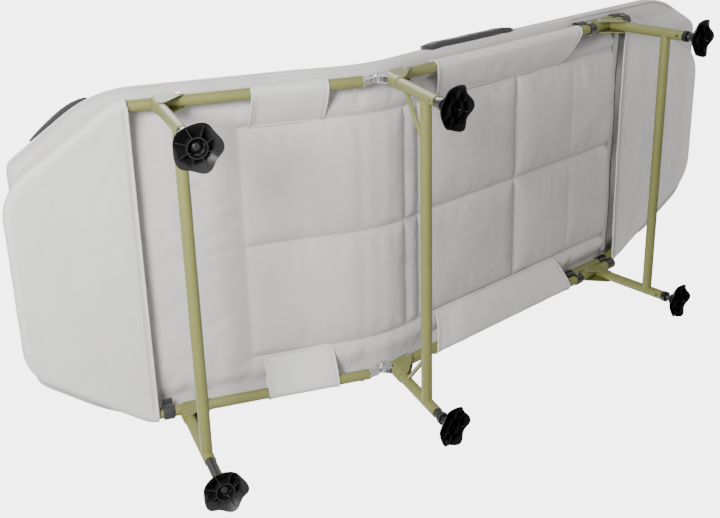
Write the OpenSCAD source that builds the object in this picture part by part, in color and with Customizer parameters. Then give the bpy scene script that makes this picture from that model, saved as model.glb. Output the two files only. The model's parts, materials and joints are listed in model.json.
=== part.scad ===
// Folding cot: two hinged tube sections, three folding leg pairs on
// swivelling cup feet, and a quilted mattress held by sleeves and pockets.
// +Z is up, the head end is at -X, the sleeper's left is +Y.

/* [Frame] */
// Distance between the centres of the two side rails
rail_spacing = 700; // [640:10:760]
// Outer diameter of the frame and leg tubes
tube_d = 25; // [22:0.5:28]
// Wall thickness of the tubes
tube_wall = 1.5; // [1.2:0.1:2]
// Angle at which the head section is raised above flat
recline = 24.5; // [0:0.5:60]
// Height of the hinge pins above the side rails' centre line
pivot_up = 24; // [22:1:28]
// Length of the head section, from the hinge pins to the end tube's centre
head_len = 790; // [740:10:840]
// Length of the seat section, from the hinge pins to the end tube's centre
seat_len = 1328; // [1250:10:1400]
// End of the seat side rails, where the foot loop takes over
seat_rail_end = 915; // [915:1:930]
// Height of the foot loop's tube above the seat rails
loop_up = 30; // [29:1:34]
// Angle of the head loop's tapering corners
head_taper = 34; // [25:1:40]
// Angle of the foot loop's tapering corners
foot_taper = 24; // [18:1:32]

/* [Legs] */
// Distance of the head legs from the hinge pins
head_leg_x = 482; // [460:5:500]
// Distance of the middle legs from the hinge pins
mid_leg_x = 17; // [10:1:30]
// Distance of the foot legs from the hinge pins
foot_leg_x = 839; // [835:1:845]
// Lean of the head legs toward the foot end
head_lean = 1.2; // [0:0.2:3]
// Lean of the middle legs toward the head end
mid_lean = 22.3; // [15:0.1:24]
// Lean of the foot legs toward the head end
foot_lean = 5.8; // [2:0.1:8]
// Length of a leg tube from the rail's centre line
leg_len = 240; // [220:5:260]
// Cross tube distance down the head legs
head_cross = 208; // [190:1:212]
// Cross tube distance down the middle and foot legs
mid_cross = 184; // [170:1:195]
// How far the head legs' stems are pulled out
head_stem_out = 70; // [0.5:0.5:70]
// How far the foot legs' stems are pulled out
foot_stem_out = 0.5; // [0.5:0.5:45]

/* [Feet] */
// Overall diameter of a cup foot
foot_d = 95; // [80:1:110]
// Number of waves round the rim
foot_waves = 5; // [4:1:7]
// Height of the waves
foot_wave_h = 4; // [0:0.5:6]
// Height of the ball's centre above the ground
ball_up = 22; // [20:1:26]

/* [Mattress] */
// Half of the mattress width
pad_half = 376; // [360:2:390]
// Underside of the mattress above the rails' centre line
pad_lo = 16; // [15.5:0.5:18]
// Top of the mattress above the rails' centre line
pad_hi = 80; // [70:1:100]
// Length each side of the hinge over which the mattress bends
pad_bend = 185; // [170:5:200]
// Top of the pillow above the rails' centre line
pillow_hi = 132; // [110:1:150]

/* [Hidden] */
$fn = 64;

sage = [0.56, 0.56, 0.40];
zinc = [0.78, 0.79, 0.80];
black = [0.06, 0.06, 0.06];
cloth = [0.74, 0.73, 0.71];

hw = rail_spacing / 2;
tr = tube_d / 2;
bore_r = tr - tube_wall;
ball_drop = 34;
mid_stem_out = (leg_len + foot_stem_out + ball_drop) * cos(foot_lean) / cos(mid_lean) - leg_len - ball_drop;
rail_up = (leg_len + foot_stem_out + ball_drop) * cos(foot_lean) + ball_up;
// outermost points of the two end pockets along X, for centring the cot on its length
pocket_r = tr + 4;
head_end = -(head_len + pocket_r) * cos(recline) - (pivot_up + 17) * sin(recline);
foot_end = seat_len + pocket_r;
origin_x = -(head_end + foot_end) / 2;

// ---- placing -------------------------------------------------------------
module seat_frame() translate([origin_x, 0, rail_up]) children();
module head_frame() seat_frame() translate([0, 0, pivot_up]) rotate([0, recline, 0]) translate([0, 0, -pivot_up]) children();
module left() translate([0, hw, 0]) children();
module right() translate([0, -hw, 0]) children();

// ---- tubes ---------------------------------------------------------------
module solid_x(x0, x1, r) translate([x0, 0, 0]) rotate([0, 90, 0]) cylinder(r = r, h = x1 - x0);
module solid_y(y0, y1, r) translate([0, y0, 0]) rotate([-90, 0, 0]) cylinder(r = r, h = y1 - y0);
module tube_x(x0, x1) difference() { solid_x(x0, x1, tr); solid_x(x0 - 1, x1 + 1, bore_r); }
module rivet_hole(x, r) translate([x, 0, 0]) solid_y(-30, 30, r);

// a bent end loop in the XY plane: straight, bend a, straight, bend 90-a, across
function loop_s(xa, xe, r1, r2, a) = (xe - xa - r1 * sin(a) - r2 * (1 - sin(a))) / cos(a);
function loop_x1(xa, r1, a) = xa + r1 * sin(a);
function loop_y1(r1, a) = hw - r1 * (1 - cos(a));
function loop_x2(xa, xe, r1, r2, a) = loop_x1(xa, r1, a) + loop_s(xa, xe, r1, r2, a) * cos(a);
function loop_y2(xa, xe, r1, r2, a) = loop_y1(r1, a) - loop_s(xa, xe, r1, r2, a) * sin(a);
// a bent tube is drawn as straights and bends end to end, a hair apart
joint = 0.01;
module straight_x(x0, x1) difference() { solid_x(x0, x1, tr); solid_x(x0 - 1, x1 + 1, bore_r); }
module bend(cx, cy, r, a0, a1) translate([cx, cy, 0]) rotate([0, 0, a0]) rotate_extrude(angle = a1 - a0)
  translate([r, 0]) difference() { circle(r = tr); circle(r = bore_r); }
module loop_half(x0, xa, xe, r1, r2, a) {
  x2 = loop_x2(xa, xe, r1, r2, a);
  y2 = loop_y2(xa, xe, r1, r2, a);
  translate([0, hw, 0]) straight_x(x0, xa - joint);
  bend(xa, hw - r1, r1, 90 - a, 90);
  translate([loop_x1(xa, r1, a), loop_y1(r1, a), 0]) rotate([0, 0, -a]) straight_x(joint, loop_s(xa, xe, r1, r2, a) - joint);
  bend(x2 - r2 * sin(a), y2 - r2 * cos(a), r2, 0, 90 - a);
}
module loop_tube(x0, xa, xe, r1, r2, a) {
  ye = loop_y2(xa, xe, r1, r2, a) - r2 * cos(a);
  loop_half(x0, xa, xe, r1, r2, a);
  mirror([0, 1, 0]) loop_half(x0, xa, xe, r1, r2, a);
  translate([xe, -ye, 0]) rotate([0, 0, 90]) straight_x(joint, 2 * ye - joint);
}
// outline of a flat shape that follows an end loop at an offset d, closed at x0
function arc(cx, cy, r, a0, a1, n) = [for (i = [0:n]) [cx + r * cos(a0 + (a1 - a0) * i / n), cy + r * sin(a0 + (a1 - a0) * i / n)]];
function half_outline(x0, xa, xe, r1, r2, a, h, d) =
  let (s = (xe - xa - r1 * sin(a) - r2 * (1 - sin(a))) / cos(a),
       x1 = xa + r1 * sin(a), y1 = h - r1 * (1 - cos(a)),
       x2 = x1 + s * cos(a), y2 = y1 - s * sin(a))
  concat([[x0, h + d]], arc(xa, h - r1, r1 + d, 90, 90 - a, 6), arc(x2 - r2 * sin(a), y2 - r2 * cos(a), r2 + d, 90 - a, 0, 8));
function flip(p) = [for (i = [len(p) - 1:-1:0]) [p[i][0], -p[i][1]]];
module outline(x0, xa, xe, r1, r2, a, h, d)
  polygon(concat(half_outline(x0, xa, xe, r1, r2, a, h, d), flip(half_outline(x0, xa, xe, r1, r2, a, h, d))));

// ---- seat section --------------------------------------------------------
module seat_rail_shape() color(sage) difference() {
  tube_x(35, seat_rail_end);
  rivet_hole(mid_rivet_x, 3.05);
  rivet_hole(foot_rivet_x, 3.05);
  rivet_hole(55, 2.6);
  rivet_hole(754, 2.1);
}
module seat_rail_left() seat_frame() left() seat_rail_shape();
module seat_rail_right() seat_frame() right() seat_rail_shape();

foot_bend_x = 926;
foot_bend_r = 80;
module foot_loop() seat_frame() translate([0, 0, loop_up]) color(sage)
  loop_tube(738, foot_bend_x, seat_len, foot_bend_r, 80, foot_taper);
// the part of a flat shape beyond x0
module beyond(x0) intersection() { children(); translate([x0, -500]) square([1000, 1000]); }

// twin clip: a ring on the seat rail joined to a ring or socket on the loop tube above
module twin_clip(x0, x1) difference() {
  union() {
    solid_x(x0, x1, tr + 2.8);
    translate([0, 0, loop_up]) solid_x(x0 - 10, x1, tr + 2.8);
    translate([x0, -5, 0]) cube([x1 - x0, 10, loop_up]);
  }
  solid_x(x0 - 1, x1 + 1, tr + 0.02);
  translate([0, 0, loop_up]) solid_x(x0 - 11, x1 + 1, tr + 0.02);
  rivet_hole(754, 2.1);
}
module clip_inner_left() seat_frame() left() color(black) twin_clip(743, 766);
module clip_inner_right() seat_frame() right() color(black) twin_clip(743, 766);
module end_clip() {
  difference() {
    union() {
      solid_x(893, 921, tr + 2.8);
      translate([0, 0, loop_up]) solid_x(893, 925, tr + 2.8);
      translate([893, -5, 0]) cube([28, 10, loop_up]);
    }
    solid_x(892, seat_rail_end + 0.05, tr + 0.02);
    translate([0, 0, loop_up]) solid_x(892, 926, tr + 0.02);
  }
}
module clip_outer_left() seat_frame() left() color(black) end_clip();
module clip_outer_right() seat_frame() right() color(black) end_clip();

// ratchet hinge: a plug in the seat rail with two cheeks round a toothed tongue
module hinge_side(y0, t) translate([0, y0 + t, 0]) rotate([90, 0, 0]) linear_extrude(height = t) children();
module cheek_2d() difference() {
  union() {
    translate([0, pivot_up]) circle(r = 15);
    polygon([[-13.5, pivot_up - 7], [2, -11], [34.6, -10.5], [34.6, 10.5], [12.5, pivot_up + 8.5]]);
  }
  translate([0, pivot_up]) circle(r = 4);
}
module hinge_body_shape() color(zinc) difference() {
  union() {
    solid_x(34.5, 78, bore_r - 0.05);
    intersection() {
      solid_x(26, 34.7, 12);
      translate([26, -8.7, -12]) cube([10, 17.4, 24]);
    }
    hinge_side(6.2, 2.5) cheek_2d();
    hinge_side(-8.7, 2.5) cheek_2d();
  }
  rivet_hole(55, 2.6);
  rivet_hole(mid_rivet_x, 3.05);
  rivet_hole(21, 2.5);
}
module hinge_body_left() seat_frame() left() hinge_body_shape();
module hinge_body_right() seat_frame() right() hinge_body_shape();
module pair() { left() children(); right() children(); }
module headed_pin(r, half, hr, ht) {
  solid_y(-half - ht, half + ht, r);
  solid_y(half, half + ht, hr);
  solid_y(-half - ht, -half, hr);
}
module hinge_pins() seat_frame() color(zinc) pair() translate([0, 0, pivot_up]) headed_pin(3.95, 8.7, 6.5, 2.2);
module frame_rivets() seat_frame() color(zinc) pair() {
  translate([55, 0, 0]) solid_y(-12.2, 12.2, 2.55);
  translate([21, 0, 0]) headed_pin(2.45, 8.7, 4.5, 1.6);
  translate([754, 0, 0]) headed_pin(2.05, 15.4, 4.2, 1.6);
}
module ratchet_pawls() seat_frame() color(zinc) pair() difference() {
  hinge_side(-5, 10) polygon([[17.5, 4.5], [24.5, -4], [25.5, 3], [22, 9], [17.8, 13]]);
  translate([21, 0, 0]) solid_y(-20, 20, 2.5);
}

// sleeve round a rail with a flap that runs inward to the mattress underside
module sleeve_2d(yi) difference() {
  union() {
    circle(r = 14.8);
    polygon([[-3, -14.6], [1, -14.9], [-yi + 1, 14.6], [-yi - 4, 14.6], [-yi - 3, 12.6]]);
  }
  circle(r = tr + 0.1);
}
module sleeve(x0, x1, yi) translate([x0, 0, 0]) rotate([90, 0, 90]) linear_extrude(height = x1 - x0) sleeve_2d(yi);
module rail_sleeve_left() seat_frame() left() color(cloth) sleeve(150, 690, 62);
module rail_sleeve_right() seat_frame() right() mirror([0, 1, 0]) color(cloth) sleeve(150, 690, 62);

pad_foot_x = 1040;
module mattress_seat() seat_frame() color(cloth) union() {
  translate([pad_bend, -pad_half, pad_lo]) cube([725 - pad_bend, pad_half * 2, pad_hi - pad_lo]);
  translate([724, -318, pad_lo]) cube([886 - 724, 636, pad_hi - pad_lo - 1]);
  translate([0, 0, 46]) linear_extrude(height = pad_hi - 46) outline(724, pad_foot_x, seat_len + 8, 150, 120, 24, pad_half, 0);
}
// the bending stretch over the hinge, cut away round the two ratchets
function rot_h(x, z) = [x * cos(recline) + (z - pivot_up) * sin(recline), -x * sin(recline) + (z - pivot_up) * cos(recline) + pivot_up];
module mattress_bend() seat_frame() color(cloth) difference() {
  translate([0, pad_half, 0]) rotate([90, 0, 0]) linear_extrude(height = pad_half * 2)
    polygon([rot_h(-pad_bend + 0.5, pad_lo), [0, pivot_up + 2], [pad_bend - 0.5, pad_lo], [pad_bend - 0.5, pad_hi], [4, pad_hi + 6], rot_h(-pad_bend + 0.5, pad_hi)]);
  for (s = [-1, 1]) translate([-110, s > 0 ? hw - 26 : -hw - 30, -20]) cube([220, 56, 70]);
}
module foot_pocket() seat_frame() color(cloth) difference() {
  translate([0, 0, loop_up - 16]) linear_extrude(height = 31) beyond(950) outline(900, foot_bend_x, seat_len, foot_bend_r, 80, foot_taper, hw, pocket_r);
  translate([0, 0, loop_up - 14]) linear_extrude(height = 40) beyond(949) outline(900, foot_bend_x, seat_len, foot_bend_r, 80, foot_taper, hw, tr + 1.5);
}
module carry_handle() seat_frame() color(black) difference() {
  translate([205, -pad_half - 11, 52]) cube([285, 10.5, 30]);
  translate([230, -pad_half - 7, 40]) cube([235, 6.6, 60]);
}

// ---- head section --------------------------------------------------------
head_bend_x = 540;
head_bend_r = 50;
head_joint_x = 523;
module head_rail_shape() color(sage) difference() {
  tube_x(-head_joint_x, -42);
  rivet_hole(-head_rivet_x, 3.05);
  rivet_hole(-60, 2.6);
}
module head_rail_left() head_frame() left() head_rail_shape();
module head_rail_right() head_frame() right() head_rail_shape();
module head_loop() head_frame() mirror([1, 0, 0]) color(sage) union() {
  loop_tube(head_joint_x + 0.1, head_bend_x, head_len, head_bend_r, 90, head_taper);
  for (s = [-1, 1]) translate([0, s * hw, 0]) difference() {
    solid_x(head_joint_x - 28, head_bend_x - 2, bore_r - 0.02);
    solid_x(head_joint_x - 29, head_bend_x - 1, bore_r - 1.5);
  }
}
module tongue_2d() difference() {
  union() {
    translate([0, pivot_up]) circle(r = 12.4);
    polygon([[-46, -9], [-38, -9.5], [-20, -4], [-4, pivot_up - 11.5], [-10, pivot_up + 7], [-22, pivot_up - 4], [-38, 9.5], [-46, 9]]);
    for (i = [0:8]) translate([0, pivot_up]) rotate([0, 0, -92 + i * 15]) polygon([[11, -1.6], [14.2, -1.6], [12.2, 1.6], [11, 1.6]]);
  }
  translate([0, pivot_up]) circle(r = 4);
}
module tongue_shape() color(zinc) difference() {
  union() {
    hinge_side(-5.8, 11.6) tongue_2d();
    solid_x(-95, -41.8, bore_r - 0.05);
    solid_x(-42, -38, 11.5);
  }
  rivet_hole(-60, 2.6);
}
module hinge_tongue_left() head_frame() left() tongue_shape();
module hinge_tongue_right() head_frame() right() tongue_shape();
module tongue_rivets() head_frame() color(zinc) pair() translate([-60, 0, 0]) headed_pin(2.55, 12.6, 4.5, 1.8);
module side_tab_left() head_frame() left() color(cloth) sleeve(-288, -122, 70);
module side_tab_right() head_frame() right() mirror([0, 1, 0]) color(cloth) sleeve(-288, -122, 70);
pad_head_x = 520;
pad_head_r = 247;
pad_taper = 35;
module mattress_head() head_frame() mirror([1, 0, 0]) color(cloth) translate([0, 0, pad_lo])
  linear_extrude(height = pad_hi - pad_lo) outline(pad_bend, pad_head_x, head_len - 3, pad_head_r, 25, pad_taper, pad_half, 0);
module head_pocket() head_frame() mirror([1, 0, 0]) color(cloth) difference() {
  translate([0, 0, -17]) linear_extrude(height = 31) beyond(543) outline(500, head_bend_x, head_len, head_bend_r, 90, head_taper, hw, pocket_r);
  translate([0, 0, -15]) linear_extrude(height = 40) beyond(542) outline(500, head_bend_x, head_len, head_bend_r, 90, head_taper, hw, tr + 1.5);
}
module pillow() head_frame() mirror([1, 0, 0]) color(cloth) translate([0, 0, pad_hi + 0.5])
  linear_extrude(height = pillow_hi - pad_hi - 0.5) outline(512, pad_head_x, head_len - 3, pad_head_r, 25, pad_taper, pad_half, -8);
band_x = 668;
band_y = pad_half - pad_head_r * (1 - cos(pad_taper)) - (band_x - pad_head_x - pad_head_r * sin(pad_taper)) * tan(pad_taper) - 8 / cos(pad_taper);
module pillow_band() head_frame() mirror([1, 0, 0]) color(black)
  translate([band_x, -band_y, 92]) rotate([0, 0, pad_taper]) translate([-68, -3, 0]) cube([136, 2.6, 24]);
module storage_strap() head_frame() left() color(black) union() {
  difference() { solid_x(-532, -506, 15.4); solid_x(-533, -505, tr + 0.1); }
  translate([-531, -26, -3]) cube([22, 13, 2.4]);
}

// ---- legs ----------------------------------------------------------------
// a leg's frame: origin where its axis crosses the rail, -Z down the leg
function leg_top(b) = (tr + 0.5 + tr * sin(abs(b))) / cos(b);
// distance along the rail from the leg axis to the bracket rivet
leg_arm = 45;
mid_arm = 49;
foot_arm = 40;
head_rivet_x = head_leg_x - leg_arm;
mid_rivet_x = mid_leg_x + mid_arm;
foot_rivet_x = foot_leg_x - foot_arm;
module head_leg() head_frame() translate([-head_leg_x, 0, 0]) rotate([0, -head_lean, 0]) children();
module mid_leg() seat_frame() translate([mid_leg_x, 0, 0]) rotate([0, mid_lean, 0]) children();
module foot_leg() seat_frame() translate([foot_leg_x, 0, 0]) rotate([0, foot_lean, 0]) children();
module leg_shape(top) color(sage) difference() {
  translate([0, 0, -leg_len]) cylinder(r = tr, h = leg_len - top);
  translate([0, 0, -leg_len - 1]) cylinder(r = bore_r, h = leg_len + 2);
  translate([0, 0, -leg_len + 14]) rotate([0, 90, 0]) translate([0, 0, -20]) cylinder(r = 3.2, h = 40);
}
module cross_shape(c) color(sage) difference() {
  translate([0, 0, -c]) solid_y(-hw + 2, hw - 2, tr);
  translate([0, 0, -c]) solid_y(-hw - 2, hw + 2, bore_r);
  for (s = [-1, 1]) translate([0, s * hw, -c - 30]) cylinder(r = tr, h = 60);
}
// U bracket: saddle round the leg, ears up both sides of the rail to the rivet.
// d = +1 when the rivet is on the +X side; b turns the rail line in the leg's frame
module bracket_shape(d, b, arm) color(sage) {
  rx = arm * cos(b) * d;
  rz = -arm * sin(b) * d;
  t0 = leg_top(b);
  difference() {
    intersection() {
      translate([0, 0, -80]) linear_extrude(height = 140) difference() {
        union() { circle(r = 14.9); translate([d > 0 ? 0 : -80, -14.9]) square([80, 29.8]); }
        union() { circle(r = 12.9); translate([d > 0 ? 0 : -81, -12.9]) square([81, 25.8]); }
      }
      translate([0, 40, 0]) rotate([90, 0, 0]) linear_extrude(height = 80) union() {
        polygon([[-16 * d, -t0 - 1], [-16 * d, -t0 - 34], [4 * d, -t0 - 46], [12 * d, -t0 - 40], [rx + 9 * d, rz - 6], [rx + 13 * d, rz + 1], [rx + 4 * d, rz + 8.5], [rx - 8 * d, rz + 8], [-9 * d, 8 - t0 * 0.3]]);
        translate([rx, rz]) circle(r = 9);
      }
    }
    // nothing of the saddle's back reaches the rail
    rotate([0, b, 0]) translate([-60, -12.8, -13.1]) cube([120, 25.6, 60]);
    translate([rx, 0, rz]) solid_y(-30, 30, 3);
  }
}
module bracket_rivet(d, b, arm) color(zinc) translate([arm * cos(b) * d, 0, -arm * sin(b) * d]) headed_pin(3, 14.9, 6, 2);

module head_leg_left() head_leg() left() leg_shape(leg_top(head_lean));
module head_leg_right() head_leg() right() leg_shape(leg_top(head_lean));
module head_leg_cross() head_leg() cross_shape(head_cross);
module head_leg_brackets() head_leg() pair() bracket_shape(1, head_lean, leg_arm);
module head_leg_rivets() head_leg() pair() bracket_rivet(1, head_lean, leg_arm);
module mid_leg_left() mid_leg() left() leg_shape(leg_top(mid_lean));
module mid_leg_right() mid_leg() right() leg_shape(leg_top(mid_lean));
module mid_leg_cross() mid_leg() cross_shape(mid_cross);
module mid_leg_brackets() mid_leg() pair() bracket_shape(1, -mid_lean, mid_arm);
module mid_leg_rivets() mid_leg() pair() bracket_rivet(1, -mid_lean, mid_arm);
brace_top = 74;
brace_in = 112;
module mid_leg_braces() mid_leg() color(sage) for (s = [-1, 1]) difference() {
  dz = mid_cross - brace_top;
  translate([0, s * hw, -brace_top]) rotate([s * (180 - atan2(brace_in, dz)), 0, 0]) cylinder(r = 5, h = sqrt(dz * dz + brace_in * brace_in));
  translate([0, s * hw, -brace_top - 60]) cylinder(r = tr, h = 90);
  translate([0, 0, -mid_cross]) solid_y(-hw, hw, tr);
}
module foot_leg_left() foot_leg() left() leg_shape(leg_top(foot_lean));
module foot_leg_right() foot_leg() right() leg_shape(leg_top(foot_lean));
module foot_leg_cross() foot_leg() cross_shape(mid_cross);
module foot_leg_brackets() foot_leg() pair() bracket_shape(-1, -foot_lean, foot_arm);
module foot_leg_rivets() foot_leg() pair() bracket_rivet(-1, -foot_lean, foot_arm);

// ---- stems and cup feet --------------------------------------------------
stem_in = 108;
ball_r = 11;
module stem_shape(out) color(black) translate([0, 0, -leg_len - out]) rotate_extrude()
  polygon(concat([[0, stem_in], [9, stem_in], [bore_r - 0.06, stem_in - 4], [bore_r - 0.06, 0], [tr + 1.2, 0], [tr + 1.6, -2], [tr + 1.2, -12], [8.5, -13.5], [7.2, -16], [5, -22], [4.5, -24]],
    [for (i = [0:16]) let (a = asin(4.5 / ball_r) + (180 - asin(4.5 / ball_r)) * i / 16) [ball_r * sin(a), -ball_drop + ball_r * cos(a)]]));
module stem_head_left() head_leg() left() stem_shape(head_stem_out);
module stem_head_right() head_leg() right() stem_shape(head_stem_out);
module stem_mid_left() mid_leg() left() stem_shape(mid_stem_out);
module stem_mid_right() mid_leg() right() stem_shape(mid_stem_out);
module stem_foot_left() foot_leg() left() stem_shape(foot_stem_out);
module stem_foot_right() foot_leg() right() stem_shape(foot_stem_out);

// cup foot: origin at the ball's centre. Skirt with a wavy rim, ribs, ring and ball socket
skirt_n = 60;
skirt_m = 7;
skirt_in = 12.2;
function rim_r(t) = foot_d / 2 - 2.5 + 2.5 * cos(foot_waves * t);
function skirt_r(u, t) = skirt_in + u * (rim_r(t) - skirt_in);
function skirt_z(u, t) = 3 - (ball_up - 5 + 3) * pow(u, 1.25) - foot_wave_h * u * u * cos(foot_waves * t);
module skirt() polyhedron(
  points = concat(
    [for (j = [0:skirt_m]) for (i = [0:skirt_n - 1]) let (t = i * 360 / skirt_n, r = skirt_r(j / skirt_m, t)) [r * cos(t), r * sin(t), skirt_z(j / skirt_m, t) + 1]],
    [for (j = [0:skirt_m]) for (i = [0:skirt_n - 1]) let (t = i * 360 / skirt_n, r = skirt_r(j / skirt_m, t)) [r * cos(t), r * sin(t), skirt_z(j / skirt_m, t) - 1]]),
  faces = let (n = skirt_n, m = skirt_m, o = (skirt_m + 1) * skirt_n) concat(
    [for (j = [0:m - 1]) for (i = [0:n - 1]) let (a = j * n + i, b = j * n + (i + 1) % n, c = (j + 1) * n + (i + 1) % n, d = (j + 1) * n + i) each [[a, b, c], [a, c, d]]],
    [for (j = [0:m - 1]) for (i = [0:n - 1]) let (a = o + j * n + i, b = o + j * n + (i + 1) % n, c = o + (j + 1) * n + (i + 1) % n, d = o + (j + 1) * n + i) each [[a, c, b], [a, d, c]]],
    [for (i = [0:n - 1]) let (a = i, b = (i + 1) % n, c = o + (i + 1) % n, d = o + i) each [[a, c, b], [a, d, c]]],
    [for (i = [0:n - 1]) let (a = m * n + i, b = m * n + (i + 1) % n, c = o + m * n + (i + 1) % n, d = o + m * n + i) each [[a, b, c], [a, c, d]]]));
module cup_shape() color(black) {
  skirt();
  difference() {
    union() {
      sphere(r = 13.2);
      translate([0, 0, -2]) cylinder(r = 13.1, h = 10);
      difference() { translate([0, 0, -18]) cylinder(r = 19.8, h = 15.5); translate([0, 0, -19]) cylinder(r = 17.6, h = 30); }
      for (i = [0:7]) rotate([0, 0, i * 45 + 20]) translate([0, 0.8, 0]) rotate([90, 0, 0]) linear_extrude(height = 1.6)
        polygon(concat([[12.9, -6], [18, -13], [19.6, -17], [24, -16.5]], [for (u = [0.9, 0.75, 0.6, 0.45, 0.3, 0.15, 0.05]) [skirt_r(u, i * 45 + 20), skirt_z(u, i * 45 + 20)]]));
    }
    sphere(r = ball_r + 0.05);
    translate([0, 0, 5.5]) cylinder(r = 9.6, h = 20);
    translate([0, 0, 7.5]) cylinder(r1 = 9.6, r2 = 12.4, h = 2);
  }
}
module ball_at(out) translate([0, 0, -leg_len - out - ball_drop]) children();
module cup_head_left() head_leg() left() ball_at(head_stem_out) cup_shape();
module cup_head_right() head_leg() right() ball_at(head_stem_out) cup_shape();
module cup_mid_left() mid_leg() left() ball_at(mid_stem_out) rotate([0, -mid_lean, 0]) cup_shape();
module cup_mid_right() mid_leg() right() ball_at(mid_stem_out) rotate([0, -mid_lean, 0]) cup_shape();
module cup_foot_left() foot_leg() left() ball_at(foot_stem_out) rotate([0, -foot_lean, 0]) cup_shape();
module cup_foot_right() foot_leg() right() ball_at(foot_stem_out) rotate([0, -foot_lean, 0]) cup_shape();

seat_rail_left();
seat_rail_right();
foot_loop();
clip_inner_left();
clip_inner_right();
clip_outer_left();
clip_outer_right();
hinge_body_left();
hinge_body_right();
hinge_pins();
ratchet_pawls();
frame_rivets();
rail_sleeve_left();
rail_sleeve_right();
mattress_seat();
mattress_bend();
foot_pocket();
carry_handle();
head_rail_left();
head_rail_right();
head_loop();
hinge_tongue_left();
hinge_tongue_right();
tongue_rivets();
side_tab_left();
side_tab_right();
mattress_head();
head_pocket();
pillow();
pillow_band();
storage_strap();
head_leg_left();
head_leg_right();
head_leg_cross();
head_leg_brackets();
head_leg_rivets();
mid_leg_left();
mid_leg_right();
mid_leg_cross();
mid_leg_brackets();
mid_leg_rivets();
mid_leg_braces();
foot_leg_left();
foot_leg_right();
foot_leg_cross();
foot_leg_brackets();
foot_leg_rivets();
stem_head_left();
stem_head_right();
stem_mid_left();
stem_mid_right();
stem_foot_left();
stem_foot_right();
cup_head_left();
cup_head_right();
cup_mid_left();
cup_mid_right();
cup_foot_left();
cup_foot_right();
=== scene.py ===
import json, math, random
import bpy, bmesh
import numpy as np
from mathutils import Vector, Matrix, noise


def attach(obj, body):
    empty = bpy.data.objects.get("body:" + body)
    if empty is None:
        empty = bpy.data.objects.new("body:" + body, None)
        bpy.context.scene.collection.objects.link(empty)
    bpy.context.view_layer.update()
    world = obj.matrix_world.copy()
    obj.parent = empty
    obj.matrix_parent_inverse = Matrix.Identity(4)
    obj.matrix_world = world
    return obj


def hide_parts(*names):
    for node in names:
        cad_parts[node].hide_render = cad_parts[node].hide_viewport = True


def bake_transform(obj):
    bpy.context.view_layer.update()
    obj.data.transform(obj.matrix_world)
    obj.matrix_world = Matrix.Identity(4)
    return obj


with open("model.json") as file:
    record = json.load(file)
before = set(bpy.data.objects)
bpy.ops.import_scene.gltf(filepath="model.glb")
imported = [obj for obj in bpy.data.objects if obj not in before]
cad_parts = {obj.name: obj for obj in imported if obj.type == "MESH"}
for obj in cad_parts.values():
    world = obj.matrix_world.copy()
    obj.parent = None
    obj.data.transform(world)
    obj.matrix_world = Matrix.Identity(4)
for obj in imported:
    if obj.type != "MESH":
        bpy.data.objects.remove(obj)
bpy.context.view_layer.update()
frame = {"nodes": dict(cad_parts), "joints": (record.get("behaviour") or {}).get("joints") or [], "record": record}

rng = np.random.default_rng(7)
random.seed(7)

# ------------------------------------------------------------------ frame of reference
hinge = [j for j in frame["joints"] if j["name"] == "recline_hinge"][0]
PU = 24.0                                   # hinge pins above the rails' centre line, mm
OX = hinge["pos_m"][0] * 1000.0
UP = hinge["pos_m"][2] * 1000.0 - PU
AL = math.radians(-hinge["range_deg"][0])
HW, TR = 350.0, 12.5
BEND = 185.0


def seat(P):
    P = np.atleast_2d(np.asarray(P, float))
    return (P + np.array([OX, 0, UP])) / 1000.0


def turned(P, ang):
    """Section coordinates turned about the hinge pins by ang (array or number), head end up."""
    P = np.atleast_2d(np.asarray(P, float))
    c, s = np.cos(ang), np.sin(ang)
    dz = P[:, 2] - PU
    return np.stack([P[:, 0] * c + dz * s, P[:, 1], -P[:, 0] * s + dz * c + PU], 1)


def head(P):
    return seat(turned(P, AL))


def bent(P):
    P = np.atleast_2d(np.asarray(P, float))
    t = np.clip((BEND - P[:, 0]) / (2 * BEND), 0, 1)
    return seat(turned(P, AL * t * t * (3 - 2 * t)))


def smooth01(t):
    t = np.clip(t, 0, 1)
    return t * t * (3 - 2 * t)


def fnoise(x, y, scale, seed=0.0):
    """Smooth noise between about -1 and 1 for arrays of mm."""
    x = np.asarray(x, float); y = np.asarray(y, float)
    out = np.empty(x.size)
    for i, (a, b) in enumerate(zip(x.ravel(), y.ravel())):
        out[i] = noise.noise(Vector((a / scale + seed * 13.7, b / scale - seed * 7.3, seed * 3.1)))
    return out.reshape(x.shape)


# ------------------------------------------------------------------ materials
def new_mat(name):
    m = bpy.data.materials.new(name)
    m.use_nodes = True
    nt = m.node_tree
    nt.nodes.clear()
    o = nt.nodes.new("ShaderNodeOutputMaterial")
    b = nt.nodes.new("ShaderNodeBsdfPrincipled")
    nt.links.new(b.outputs[0], o.inputs[0])
    return m, nt, b


def N(nt, kind, **kw):
    n = nt.nodes.new(kind)
    for k, v in kw.items():
        if k in n.inputs:
            n.inputs[k].default_value = v
        else:
            setattr(n, k, v)
    return n


def ramp(nt, a, b, ca, cb):
    r = nt.nodes.new("ShaderNodeValToRGB")
    r.color_ramp.elements[0].position = a
    r.color_ramp.elements[1].position = b
    r.color_ramp.elements[0].color = (*ca, 1)
    r.color_ramp.elements[1].color = (*cb, 1)
    return r


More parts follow.
